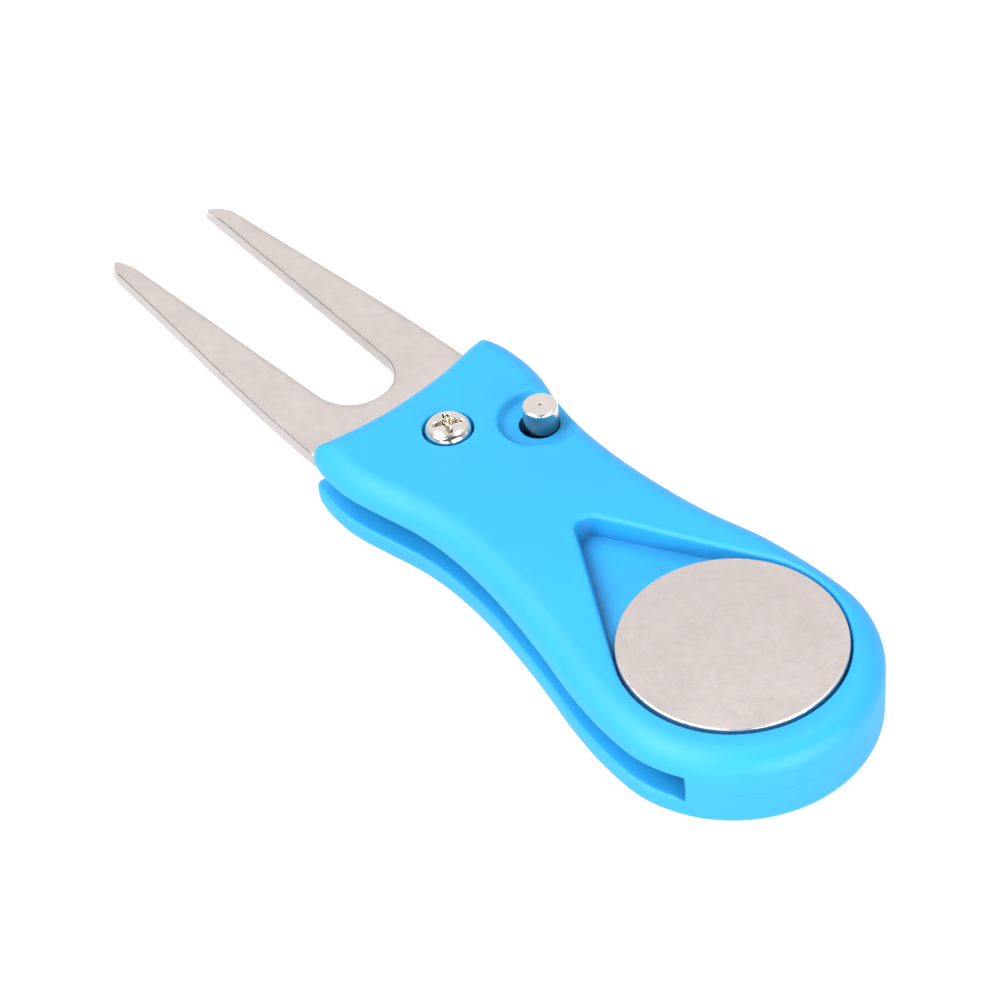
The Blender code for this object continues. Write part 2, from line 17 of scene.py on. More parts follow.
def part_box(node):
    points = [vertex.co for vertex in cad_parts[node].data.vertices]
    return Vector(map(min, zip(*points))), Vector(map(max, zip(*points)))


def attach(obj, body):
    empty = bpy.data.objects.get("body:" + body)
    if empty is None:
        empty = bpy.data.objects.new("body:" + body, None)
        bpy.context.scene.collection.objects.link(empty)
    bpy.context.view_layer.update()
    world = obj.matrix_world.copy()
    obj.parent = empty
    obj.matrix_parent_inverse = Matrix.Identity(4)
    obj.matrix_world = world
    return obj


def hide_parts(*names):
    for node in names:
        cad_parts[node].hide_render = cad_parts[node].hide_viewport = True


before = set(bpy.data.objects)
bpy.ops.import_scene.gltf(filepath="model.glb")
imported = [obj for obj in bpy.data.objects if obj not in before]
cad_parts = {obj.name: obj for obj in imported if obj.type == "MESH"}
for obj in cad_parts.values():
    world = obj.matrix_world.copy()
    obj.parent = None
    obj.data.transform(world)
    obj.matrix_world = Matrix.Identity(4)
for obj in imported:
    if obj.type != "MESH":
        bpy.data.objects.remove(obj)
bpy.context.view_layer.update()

MM = 0.001


def cad(node):
    """Lowest and highest corner of a CAD node, in millimetres."""
    low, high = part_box(node)
    return np.array(low) / MM, np.array(high) / MM


def middle(node):
    """Centre of a CAD node in plan."""
    low, high = cad(node)
    return (low[:2] + high[:2]) / 2


# ---------------------------------------------------------------- places read from the frame

PIVOT = middle("pivot_screw")
MARKER = middle("ball_marker")
BUTTON = middle("lock_button")
END_SCREW = middle("shell_screw")
MARKER_LOW, MARKER_HIGH = cad("ball_marker")
MARKER_RADIUS = (MARKER_HIGH[0] - MARKER_LOW[0]) / 2
TOP_Z = MARKER_HIGH[2]
FORK_LOW, FORK_HIGH = cad("fork")
FORK_BOTTOM_Z, FORK_TOP_Z = FORK_LOW[2], FORK_HIGH[2]
BUTTON_BOTTOM_Z, BUTTON_TOP_Z = (corner[2] for corner in cad("lock_button"))

# ---------------------------------------------------------------- design sizes, millimetres

PARTING_Z = 4.9
PARTING_GAP = 0.005
SLOT_BOTTOM_Z = 3.1
SLOT_TOP_Z = 6.7
RECESS_FLOOR_Z = 8.0
TOP_ROUND = 3.0
BOTTOM_ROUND = 1.5
CROWN = 0.9
CROWN_X = -4.0
CROWN_SPREAD = 14.0
POCKET_RADIUS = 12.75
APEX_X = -5.9
APEX_ROUND = 1.7
APEX_SHIFT = 0.35
POCKET_FLARE = 0.45
SLOT_CORNER = 0.25
SEAM_ROUND = 0.02
SWEEP_RADIUS = 57.7
BACK_POCKET_RADIUS = 13.5
CLOSED_ANGLE = 175.0
FORK_CLEARANCE = 0.35
FORK_ROOT = 10.7
FORK_ROOT_HALF = 11.85
TIP_START = 52.7
TIP_START_HALF = 8.97
TIP_REACH = 57.2
TIP_HALF = 7.15
CROTCH_REACH = 13.1
CROTCH_STRAIGHT = 18.7
CROTCH_HALF = 5.07
TINE_GAP_SPREAD = 0.0447
HUB_RADIUS = 8.9
HUB_BORE = 2.7
HUB_HOLE = PIVOT - np.array([6.4, 0.0])         # small hole that takes the spring's leg
HUB_HOLE_RADIUS = 0.7
NOTCH_RADIUS = 2.5
FORK_EDGE = 0.16
TIP_ROUND = 0.75
TIP_BEND = 0.6
TIP_BEND_START = 52.0
SIDE_PAINTED_SHADE = 0.45                             # strength of the painted shade on the fork's cut sides, 0 to 1

PIN_PLAY = np.array([0.24, 0.11])               # how far the loose pin stands off its hole's middle
PIN_RADIUS = 2.05
PIN_NECK = 1.3
COLLAR_RADIUS = 2.3
COLLAR_HEIGHT = 0.8
STEM_HOLE = 2.37
STEM_HOLE_Z = 7.4
DISH_Z = 8.72
DISH_FLAT = 3.75
DISH_RISE = 0.90
DISH_BLEND = 0.5
DISH_REACH = 6.5
SCREW_SEAT = PIVOT + np.array([0.25, -0.06])    # middle of the screw's counterbore
SCREW_HEAD = 2.74
SCREW_RISE = 1.25
SCREW_RECESS = (1.8, 0.40, 1.1, math.radians(-30))      # arm reach, half width, depth, turn
COUNTERBORE = 3.05
COUNTERBORE_Z = 8.1
TEAR_RIM, TEAR_WALL, TEAR_FOOT = 0.55, 0.45, 0.06
HOLE_RIM, HOLE_WALL, HOLE_FOOT = 0.1, 0.04, 0.1
LIP_ROUND = 0.5
MAGNET_HOLE = 4.3
WASHER_SEAT, WASHER_SEAT_Z = 5.9, 7.3
SPRING_POCKET, SPRING_POCKET_Z = 4.6, 1.6
BUTTON_POCKET, BUTTON_POCKET_Z = 2.7, 0.6
NUT_RECESS, NUT_RECESS_Z = 3.4, 1.3
END_RECESS, END_RECESS_Z, END_BORE = 2.0, 1.5, 1.1
UNDER_RIM, UNDER_WALL, UNDER_FOOT = 0.15, 0.04, 0.1
STEP = 0.05                                     # plan width of a step inside the shells
SHARP_ANGLE = 38.0


# ---------------------------------------------------------------- plan geometry

def arc(centre, radius, start, end, steps):
    angles = np.radians(np.linspace(start, end, steps + 1))
    return np.stack([centre[0] + radius * np.cos(angles), centre[1] + radius * np.sin(angles)], 1)


def circle(centre, radius, steps=96):
    return arc(centre, radius, 0.0, 360.0, steps)[:-1]


def smooth_loop(points, steps):
    """Closed Catmull-Rom curve through the points."""
    points = np.asarray(points, float)
    before, after, later = np.roll(points, 1, 0), np.roll(points, -1, 0), np.roll(points, -2, 0)
    rows = []
    for j in range(steps):
        t = j / steps
        pull = (after - before) * (t - 2 * t * t + t ** 3) + (later - points) * (t ** 3 - t * t)
        rows.append(points * (1 - 3 * t * t + 2 * t ** 3) + after * (3 * t * t - 2 * t ** 3) + pull * 0.5)
    return np.stack(rows, 1).reshape(-1, 2)


def signed_distance(points, loop):
    """Distance to a closed loop, positive inside it."""
    start = np.asarray(loop, float)
    end = np.roll(start, -1, 0)
    step = end - start
    length2 = (step ** 2).sum(1) + 1e-12
    result = np.empty(len(points))
    chunk = 2000
    for i in range(0, len(points), chunk):
        p = points[i:i + chunk, None, :]
        t = np.clip(((p - start) * step).sum(2) / length2, 0.0, 1.0)
        near = np.sqrt((((start + t[..., None] * step) - p) ** 2).sum(2)).min(1)
        spans = (start[:, 1] > p[..., 1]) != (end[:, 1] > p[..., 1])
        rise = np.where(np.abs(step[:, 1]) < 1e-12, 1e-12, step[:, 1])
        crossing = start[:, 0] + (p[..., 1] - start[:, 1]) / rise * step[:, 0]
        inside = (spans & (p[..., 0] < crossing)).sum(1) % 2 == 1
        result[i:i + chunk] = np.where(inside, near, -near)
    return result


def offset_loop(loop, inset):
    """The loop moved inwards along its normals; the loop runs anticlockwise."""
    tangent = np.roll(loop, -1, 0) - np.roll(loop, 1, 0)
    tangent /= np.linalg.norm(tangent, axis=1)[:, None]
    return loop + np.stack([-tangent[:, 1], tangent[:, 0]], 1) * inset


def anticlockwise(loop):
    """The loop, turned round if it runs clockwise."""
    x, y = loop[:, 0], loop[:, 1]
    area = (x * np.roll(y, -1) - np.roll(x, -1) * y).sum()
    return loop if area > 0 else loop[::-1]


def quarter(depth, radius):
    """Drop of a quarter-round edge at a distance in from the edge."""
    depth = np.maximum(depth, 0.0)
    reach = np.clip(1.0 - depth / radius, 0.0, 1.0)
    return radius * (1.0 - np.sqrt(1.0 - reach * reach))


def quarter_insets(radius, steps):
    return [radius * (1.0 - math.cos(math.pi / 2 * i / steps)) for i in range(1, steps + 1)]


def pocket_share(inside, depth, rim, wall, foot):
    """How far down a pocket wall a point is, from 0 on the face to 1 on the floor.

    inside is the distance in from the rim line, rim and foot are the radii of the two fillets, and
    wall is the width that the drafted wall takes in plan."""
    drop = np.zeros_like(inside)
    on_rim = (inside > -rim) & (inside <= 0)
    drop = np.where(on_rim, rim - np.sqrt(np.maximum(rim ** 2 - (inside + rim) ** 2, 0.0)), drop)
    down = np.clip(inside / wall, 0.0, 1.0)
    drop = np.where(inside > 0, rim + (depth - rim - foot) * down, drop)
    past = np.clip(inside - wall, 0.0, foot)
    low = depth - foot + np.sqrt(np.maximum(foot ** 2 - (foot - past) ** 2, 0.0))
    drop = np.where(inside > wall, low, drop)
    return np.clip(drop / depth, 0.0, 1.0)


def pocket_insets(rim, wall, foot):
    """Distances at which a pocket's plan needs loops."""
    rims = [-rim * share for share in (1.0, 0.75, 0.5, 0.28, 0.12, 0.03)]
    feet = [wall + foot * share for share in (0.03, 0.12, 0.28, 0.5, 0.75, 1.0)]
    return rims + [0.0, wall] + feet


def plan_mesh(name, loops, keep, spacing, top, bottom, region=None):
    """Solid between two height functions over the part of the plan where keep(points) is true.

    loops are closed loops that the triangles follow, region optionally gives (centre, radius, spacing)
    for a finer patch of free points."""
    every = np.concatenate(loops)
    low, high = every.min(0), every.max(0)
    grids = [hex_grid(low, high, spacing)]
    if region:
        centre, radius, fine = region
        patch = hex_grid(np.array(centre) - radius, np.array(centre) + radius, fine)
        grids.append(patch[np.linalg.norm(patch - centre, axis=1) < radius])
        grids[0] = grids[0][np.linalg.norm(grids[0] - centre, axis=1) > radius + spacing * 0.4]
    free = np.concatenate(grids)
    clear = np.full(len(free), np.inf)
    for i in range(0, len(free), 1000):
        gap = np.linalg.norm(free[i:i + 1000, None, :] - every[None], axis=2).min(1)
        clear[i:i + 1000] = gap
    limit = spacing * 0.3 if not region else region[2] * 0.5
    free = free[clear > limit]
    edges, count = [], 0
    for loop in loops:
        size = len(loop)
        edges += [(count + i, count + (i + 1) % size) for i in range(size)]
        count += size
    points = [Vector(p) for p in np.concatenate([every, free])]
    spots, _, faces, *_ = delaunay_2d_cdt(points, edges, [], 0, 1e-5)
    spots = np.array([tuple(spot) for spot in spots])
    faces = np.array(faces)
    faces = faces[keep(spots[faces].mean(1))]
    a, b, c = (spots[faces[:, k]] for k in range(3))
    area = (b - a)[:, 0] * (c - a)[:, 1] - (b - a)[:, 1] * (c - a)[:, 0]
    faces[area < 0] = faces[area < 0][:, ::-1]
    faces = faces[np.abs(area) > 1e-9]
    used, faces = np.unique(faces, return_inverse=True)
    faces = faces.reshape(-1, 3)
    spots = spots[used]
    return closed_solid(name, spots, faces, top(spots), bottom(spots))


def hex_grid(low, high, spacing):
    """Staggered points that fill a rectangle."""
    rows = np.arange(low[1], high[1], spacing * 0.866)
    columns = np.arange(low[0], high[0], spacing)
    x, y = np.meshgrid(columns, rows)
    x = x + (np.arange(len(rows)) % 2)[:, None] * spacing / 2
    return np.stack([x.ravel(), y.ravel()], 1)


def closed_solid(name, spots, faces, top_z, bottom_z):
    """Top and bottom skins over one triangulated plan, joined by a wall along its borders."""
    count = len(spots)
    verts = np.concatenate([np.column_stack([spots, top_z]), np.column_stack([spots, bottom_z])]) * MM
    sides = {}
    for face in faces:
        for i in range(3):
            sides[(face[i], face[(i + 1) % 3])] = True
    polygons = [tuple(face) for face in faces.tolist()]
    polygons += [(c + count, b + count, a + count) for a, b, c in faces.tolist()]
    for a, b in sides:
        if (b, a) not in sides:
            polygons.append((int(b), int(a), int(a) + count, int(b) + count))
    mesh = bpy.data.meshes.new(name)
    mesh.from_pydata(verts.tolist(), [], polygons)
    mesh.validate()
    return finish_mesh(mesh)


def finish_mesh(mesh):
    """Weld, turn the faces outwards and smooth a mesh, keeping its real corners sharp."""
    form = bmesh.new()
    form.from_mesh(mesh)
    bmesh.ops.remove_doubles(form, verts=form.verts, dist=1e-7)
    bmesh.ops.recalc_face_normals(form, faces=form.faces)
    form.to_mesh(mesh)
    form.free()
    smooth(mesh)
    return mesh


def smooth(mesh):
    mesh.shade_smooth()
    mesh.set_sharp_from_angle(angle=math.radians(SHARP_ANGLE))


def turned(name, profile, steps=128):
    """Solid of revolution about Z from (radius, z) points in millimetres."""
    form = bmesh.new()
    rings = []
    for radius, z in profile:
        if radius == 0.0:
            rings.append([form.verts.new((0.0, 0.0, z * MM))] * steps)
            continue
        ring = []
        for i in range(steps):
            angle = 2.0 * math.pi * i / steps
            spot = (radius * MM * math.cos(angle), radius * MM * math.sin(angle), z * MM)
            ring.append(form.verts.new(spot))
        rings.append(ring)
    if profile[0][0] > 0.0:
        rings.append(rings[0])
    for low, high in zip(rings, rings[1:]):
        for i in range(steps):
            k = (i + 1) % steps
            corners = []
            for vert in (low[i], low[k], high[k], high[i]):
                if vert not in corners:
                    corners.append(vert)
            form.faces.new(corners)
    bmesh.ops.recalc_face_normals(form, faces=form.faces)
    mesh = bpy.data.meshes.new(name)
    form.to_mesh(mesh)
    form.free()
    smooth(mesh)
    return mesh


def rounded(corners, radius, steps=5):
    """A profile whose inner corners are rounded."""
    result = [corners[0]]
    for before, corner, after in zip(corners, corners[1:], corners[2:]):
        before, corner, after = Vector(before), Vector(corner), Vector(after)
        into, out = before - corner, after - corner
        reach = min(radius, into.length * 0.45, out.length * 0.45)
        first, last = corner + into.normalized() * reach, corner + out.normalized() * reach
        for i in range(steps + 1):
            t = i / steps
            spot = first * (1 - t) ** 2 + corner * 2 * t * (1 - t) + last * t * t
            result.append((max(spot.x, 0.0), spot.y))
    result.append(corners[-1])
    return result


# ---------------------------------------------------------------- outlines

def handle_outline():
    """Plan of the handle: far flank, hollow front edge, near flank and the round end."""
    far = [(10.8, 14.75), (3.3, 13.0), (-3.0, 12.1), (-9.5, 11.75), (-16.7, 12.15), (-22.7, 13.3),
           (-27.2, 14.65), (-31.2, 15.1), (-34.6, 14.9), (-36.9, 14.0)]
    near = [(-36.35, -12.3), (-34.2, -13.35), (-30.3, -13.8), (-27.0, -13.6), (-23.4, -12.9),
            (-18.0, -11.85), (-12.5, -11.55), (-6.0, -12.0), (0.0, -12.95), (6.0, -14.2), (12.0, -15.65)]
    front = [(-35.3 - 0.0105 * (y + 1.3) ** 2, y) for y in (12.0, 6.0, -1.3, -6.0, -10.2)]
    round_end = arc((21.15, -0.65), 16.2, -100.0, 95.0, 9)
    return anticlockwise(smooth_loop(far + front + near + round_end.tolist(), 14))


def flank_half(reach):
    """Half width of the fork at a distance from the pivot, along its outer flank."""
    span = TIP_START - FORK_ROOT
    t = (reach - FORK_ROOT) / span
    slope = span * (-0.02 * (t - 2 * t * t + t ** 3) - 0.07 * (t ** 3 - t * t))
    blend = 3 * t * t - 2 * t ** 3
    return FORK_ROOT_HALF * (1 - blend) + TIP_START_HALF * blend + slope


def folded(reach, half):
    """A point of the fork's outline once the fork is closed."""
    angle = math.radians(CLOSED_ANGLE - 180.0)
    return [PIVOT[0] + reach * math.cos(angle) - half * math.sin(angle),
            PIVOT[1] + reach * math.sin(angle) + half * math.cos(angle)]


def slot_outline():
    """Plan of the space that the fork sweeps, open to the front and to the slot side."""
    outside = 60.0
    entry_y = FORK_ROOT_HALF + FORK_CLEARANCE
    entry = math.degrees(math.asin(entry_y / BACK_POCKET_RADIUS))
    shoulder = math.hypot(FORK_ROOT, FORK_ROOT_HALF) + FORK_CLEARANCE
    parts = [[(PIVOT[0] - outside, entry_y)], arc(PIVOT, BACK_POCKET_RADIUS, 180.0 - entry, 49.0, 30),
             arc(PIVOT, shoulder, 46.0, 42.5, 4),
             [folded(reach, flank_half(reach) + FORK_CLEARANCE) for reach in np.linspace(13.0, 52.0, 14)],
             arc(PIVOT, SWEEP_RADIUS, 5.5, -22.0, 60),
             [(outside, -outside), (PIVOT[0] - outside, -outside)]]
    return anticlockwise(np.concatenate([np.array(part, float) for part in parts]))


def teardrop(margin=0.0, steps=120):
    """Round marker pocket with two straight walls running to a rounded apex.

    The far wall stands a little further out than the near one."""
    radius = POCKET_RADIUS + margin
    apex_x = APEX_X - margin * (MARKER[0] - APEX_X) / POCKET_RADIUS
    half_angle = math.degrees(math.asin(radius / (MARKER[0] - apex_x)))
    tangent = 90.0 + half_angle
    angles = np.linspace(-tangent, tangent, steps + 1)
    share = np.clip((angles - 50.0) / (tangent - 50.0), 0.0, 1.0)
    reach = radius + POCKET_FLARE * share * share * (3 - 2 * share)
    around = MARKER + reach[:, None] * np.stack([np.cos(np.radians(angles)), np.sin(np.radians(angles))], 1)
    tip = APEX_ROUND + margin
    centre = (apex_x + tip / math.sin(math.radians(half_angle)), MARKER[1] + APEX_SHIFT)
    apex = arc(centre, tip, tangent, 360.0 - tangent, 24)
    walls = []
    for start, end in ((around[-1], apex[0]), (apex[-1], around[0])):
        walls.append(start + (end - start) * np.linspace(0, 1, 30)[1:-1, None])
    return np.concatenate([around, walls[0], apex, walls[1]])


def fork_outline():
    """Half of the fork from behind the hub to the crotch, then its mirror image."""
    hub = arc((0.0, 0.0), HUB_RADIUS, 180.0, 44.0, 60).tolist()
    shoulder = [(8.3, 8.0), (9.9, 11.0), (10.2, 11.55)]
    flank = [(reach, flank_half(reach)) for reach in np.linspace(FORK_ROOT, TIP_START, 70)]
    turns = np.radians(np.linspace(8.0, 82.0, 12))
    depth, fall = TIP_REACH - TIP_START, TIP_START_HALF - TIP_HALF
    tip = [(TIP_START + depth * math.sin(t), TIP_HALF + fall * math.cos(t)) for t in turns]
    tip += [(TIP_REACH, TIP_HALF), (TIP_REACH - 0.08, TIP_HALF - 0.18), (TIP_REACH - 0.35, TIP_HALF - 0.33)]
    inner = [(reach, CROTCH_HALF + (reach - CROTCH_STRAIGHT) * TINE_GAP_SPREAD)
             for reach in np.linspace(TIP_REACH - 1.0, CROTCH_STRAIGHT, 60)]
    turns = np.radians(np.linspace(5.0, 87.0, 24))
    sweep = CROTCH_STRAIGHT - CROTCH_REACH
    crotch = [(CROTCH_STRAIGHT - sweep * math.sin(t), CROTCH_HALF * math.cos(t) ** 0.9) for t in turns]
    half = hub + shoulder + flank + tip + inner + crotch
    outline = [(-reach, -width) for reach, width in half] + [(-CROTCH_REACH, 0.0)]
    outline += [(-reach, width) for reach, width in reversed(half[1:])]
    return anticlockwise(np.array(outline) + PIVOT)


# ---------------------------------------------------------------- pieces

def add_piece(name, mesh, material, body, replaced=(), location=(0.0, 0.0)):
    """Make a mesh into a piece that rides on a body and stands in for CAD nodes."""
    piece = bpy.data.objects.new(name, mesh)
    piece.location = (location[0] * MM, location[1] * MM, 0.0)
    bpy.context.scene.collection.objects.link(piece)
    mesh.materials.append(material)
    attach(piece, body)
    if replaced:
        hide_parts(*replaced)


def crown(points):
    """Gentle swelling of the top face between the pivot and the marker."""
    across = np.clip(np.abs(points[:, 1]) / 13.5, 0.0, 1.0)
    return CROWN * np.exp(-((points[:, 0] - CROWN_X) / CROWN_SPREAD) ** 2) * (1.0 - across ** 2)


def smooth_min(a, b, blend):
    """The lower of two heights, with a fillet where they cross."""
    share = np.clip(0.5 + 0.5 * (b - a) / blend, 0.0, 1.0)
    return b * (1 - share) + a * share - blend * share * (1 - share)


def step_to(points_inside, base, floor):
    """Heights that step from base to floor just inside an edge."""
    share = np.clip(points_inside / STEP, 0.0, 1.0)
    return base * (1 - share) + floor * share


def dish(points):
    """Round dish about the button: a flat floor whose side curves up."""
    out = np.maximum(np.linalg.norm(points - BUTTON, axis=1) - DISH_FLAT, 0.0)
    return DISH_Z + DISH_RISE * out * out


def radial(points, centre, radius):
    """Distance to a circle, positive inside it."""
    return radius - np.linalg.norm(points - centre, axis=1)


def sink(z, inside, floor, rim, wall, foot):
    """Lower a face into a pocket with a flat floor."""
    share = pocket_share(inside, np.maximum(z - floor, rim + foot), rim, wall, foot)
    return z * (1 - share) + floor * share


def upper_shell_mesh(outline, slot):
    """Upper half of the handle: crowned top, teardrop recess, button dish and screw counterbore."""
    tear = teardrop()
    holes = ((BUTTON, STEM_HOLE, STEM_HOLE_Z), (SCREW_SEAT, COUNTERBORE, COUNTERBORE_Z))

    def top(points):
        edge = signed_distance(points, outline)
        shoulder = (TOP_Z - SLOT_TOP_Z - SLOT_CORNER) / TOP_ROUND * quarter(edge, TOP_ROUND)
        z = TOP_Z + crown(points) - shoulder
        z = smooth_min(z, dish(points), DISH_BLEND)
        for centre, radius, floor in holes:
            z = sink(z, radial(points, centre, radius), floor, HOLE_RIM, HOLE_WALL, HOLE_FOOT)
        return sink(z, signed_distance(points, tear), RECESS_FLOOR_Z, TEAR_RIM, TEAR_WALL, TEAR_FOOT)

    def bottom(points):
        base = np.full(len(points), PARTING_Z + PARTING_GAP / 2)
        inside = signed_distance(points, slot)
        base = step_to(inside, base, SLOT_TOP_Z)
        base = step_to(radial(points, PIVOT, WASHER_SEAT), base, WASHER_SEAT_Z)
        edge = signed_distance(points, outline)
        open_side = np.clip(inside / 0.3, 0.0, 1.0)
        corner = SEAM_ROUND + (SLOT_CORNER * 0.8 - SEAM_ROUND) * open_side
        return base + quarter(edge, corner) * 0.9

    def keep(points):
        solid = signed_distance(points, outline) > 0
        solid &= radial(points, PIVOT, HUB_BORE) < 0
        solid &= radial(points, BUTTON, STEM_HOLE - HOLE_WALL) < 0
        return solid & (radial(points, MARKER, MAGNET_HOLE) < 0)

    loops = [outline] + [offset_loop(outline, inset) for inset in quarter_insets(TOP_ROUND, 12)]
    loops += [offset_loop(outline, inset) for inset in (0.05, 0.12, 0.2)]
    loops += [teardrop(-inset) for inset in pocket_insets(TEAR_RIM, TEAR_WALL, TEAR_FOOT)]
    loops += [slot, offset_loop(slot, STEP)]
    for centre, radius in ((SCREW_SEAT, COUNTERBORE), (BUTTON, STEM_HOLE)):
        loops += [circle(centre, radius - inset) for inset in pocket_insets(HOLE_RIM, HOLE_WALL, HOLE_FOOT)
                  if radius - inset > 2.25]
    loops += [circle(PIVOT, HUB_BORE), circle(MARKER, MAGNET_HOLE)]
    loops += [circle(PIVOT, WASHER_SEAT), circle(PIVOT, WASHER_SEAT - STEP)]
    loops += [circle(BUTTON, radius, 120) for radius in np.arange(2.8, 6.2, 0.3)]
    return plan_mesh("upper_shell", loops, keep, 0.8, top, bottom, (BUTTON, DISH_REACH, 0.3))


def lower_shell_mesh(outline, slot):
    """Lower half of the handle, with the floor of the fork's slot and two screw recesses below."""
    pockets = ((PIVOT, SPRING_POCKET, SPRING_POCKET_Z), (BUTTON, BUTTON_POCKET, BUTTON_POCKET_Z))
    recesses = ((PIVOT, NUT_RECESS, NUT_RECESS_Z), (END_SCREW, END_RECESS, END_RECESS_Z))

    def top(points):
        base = np.full(len(points), PARTING_Z - PARTING_GAP / 2)
        inside = signed_distance(points, slot)
        base = step_to(inside, base, SLOT_BOTTOM_Z)
        for centre, radius, floor in pockets:
            base = step_to(radial(points, centre, radius), base, floor)
        edge = signed_distance(points, outline)
        open_side = np.clip((inside - 0.1) / 1.2, 0.0, 1.0)
        return base - quarter(edge, SEAM_ROUND + (LIP_ROUND - SEAM_ROUND) * open_side) * 0.9

    def bottom(points):
        edge = signed_distance(points, outline)
        z = quarter(edge, BOTTOM_ROUND)
        depth = np.full(len(points), NUT_RECESS_Z)
        for centre, radius, floor in recesses:
            share = pocket_share(radial(points, centre, radius), depth, UNDER_RIM, UNDER_WALL, UNDER_FOOT)
            z = z * (1 - share) + floor * share
        return z

    def keep(points):
        solid = signed_distance(points, outline) > 0
        solid &= radial(points, END_SCREW, END_BORE) < 0
        return solid & (radial(points, PIVOT, HUB_BORE) < 0)

    loops = [outline] + [offset_loop(outline, inset) for inset in quarter_insets(BOTTOM_ROUND, 10)]
    loops += [offset_loop(outline, inset) for inset in (0.05, 0.12, 0.2, 0.35, 0.5, 0.72, 0.95)]
    loops += [slot, offset_loop(slot, STEP)]
    for centre, radius, _ in recesses:
        insets = pocket_insets(UNDER_RIM, UNDER_WALL, UNDER_FOOT)
        loops += [circle(centre, radius - inset) for inset in insets]
    for centre, radius, _ in pockets:
        loops += [circle(centre, radius), circle(centre, radius - STEP)]
    loops += [circle(PIVOT, HUB_BORE), circle(END_SCREW, END_BORE)]
    return plan_mesh("lower_shell", loops, keep, 0.9, top, bottom)


def fork_mesh():
    """Flat blade with rounded edges, and tips that thin out and bend down a little."""
    outline = fork_outline()
    offset = BUTTON - PIVOT
    notches = []
    for turn in (0.0, -math.radians(CLOSED_ANGLE)):
        spin = np.array([[math.cos(turn), -math.sin(turn)], [math.sin(turn), math.cos(turn)]])
        notches.append(PIVOT + spin @ offset)

    def edge_drop(points):
        reach = PIVOT[0] - points[:, 0]
        share = np.clip((reach - TIP_START - 0.6) / (TIP_REACH - TIP_START - 0.6), 0.0, 1.0)
        share = share * share * (3 - 2 * share)
        radius = FORK_EDGE + (TIP_ROUND - FORK_EDGE) * share
        edge = signed_distance(points, outline)
        for notch in notches:
            edge = np.minimum(edge, -radial(points, notch, NOTCH_RADIUS))
        edge = np.minimum(edge, -radial(points, PIVOT, HUB_BORE))
        edge = np.maximum(edge, 0.0)
        return np.where(edge < radius, quarter(edge, radius), 0.0)

    def bend(points):
        share = (PIVOT[0] - points[:, 0] - TIP_BEND_START) / (TIP_REACH - TIP_BEND_START)
        return TIP_BEND * np.clip(share, 0.0, 1.0) ** 2

    def keep(points):
        solid = signed_distance(points, outline) > 0
        for notch in notches:
            solid &= radial(points, notch, NOTCH_RADIUS) < 0
        solid &= radial(points, HUB_HOLE, HUB_HOLE_RADIUS) < 0
        return solid & (radial(points, PIVOT, HUB_BORE) < 0)

    loops = [outline] + [offset_loop(outline, inset) for inset in quarter_insets(FORK_EDGE, 4)]
    loops += [circle(notch, NOTCH_RADIUS, 64) for notch in notches]
    loops += [circle(PIVOT, HUB_BORE), circle(PIVOT, HUB_BORE + 0.07), circle(PIVOT, HUB_BORE + FORK_EDGE)]
    loops += [circle(HUB_HOLE, HUB_HOLE_RADIUS, 32)]
    tips = [np.array([PIVOT[0] - 55.0, PIVOT[1] + side * 7.9]) for side in (-1, 1)]
    for tip in tips:
        for inset in (0.08, 0.2, 0.35, 0.5, 0.65, 0.8):
            ring = offset_loop(outline, inset)
            loops.append(ring[np.linalg.norm(ring - tip, axis=1) < 3.2])
    mesh = plan_mesh("fork", loops, keep, 0.8, lambda p: FORK_TOP_Z - edge_drop(p) - bend(p),
                     lambda p: FORK_BOTTOM_Z + edge_drop(p) - bend(p))
    paint_fork_shade(mesh, outline)
    return mesh


def paint_fork_shade(mesh, outline):
    """Paint shade onto the fork's cut sides, and a fine painted shade line along its upper edges, which
    ends near the tips.
    """
    count = len(mesh.vertices)
    spots = np.empty(count * 3)
    mesh.vertices.foreach_get("co", spots)
    spots = spots.reshape(-1, 3) / MM
    edge = signed_distance(spots[:, :2], outline)
    line = 0.9 * np.exp(-((edge - 0.08) / 0.055) ** 2) * (spots[:, 2] > (FORK_BOTTOM_Z + FORK_TOP_Z) / 2)
    reach = PIVOT[0] - spots[:, 0]
    line *= np.clip((TIP_START + 2.0 - reach) / 0.8, 0.0, 1.0)
    line = np.where(edge < 0.02, SIDE_PAINTED_SHADE, line)
    mesh.attributes.new("rim", "FLOAT", "POINT").data.foreach_set("value", line)


def cross_loop(reach, half, steps=6):
    """Plan of a cross recess with rounded ends, arms along +-X and +-Y."""
    corner = []
    root = half * 1.6
    for turn in range(4):
        angle = math.pi / 2 * turn
        spin = np.array([[math.cos(angle), -math.sin(angle)], [math.sin(angle), math.cos(angle)]])
        end = arc((reach - half, 0.0), half, -90.0, 90.0, steps).tolist()
        arm = [(root, -half)] + end + [(root, half)]
        corner.append(np.array(arm) @ spin.T)
    return np.concatenate(corner)


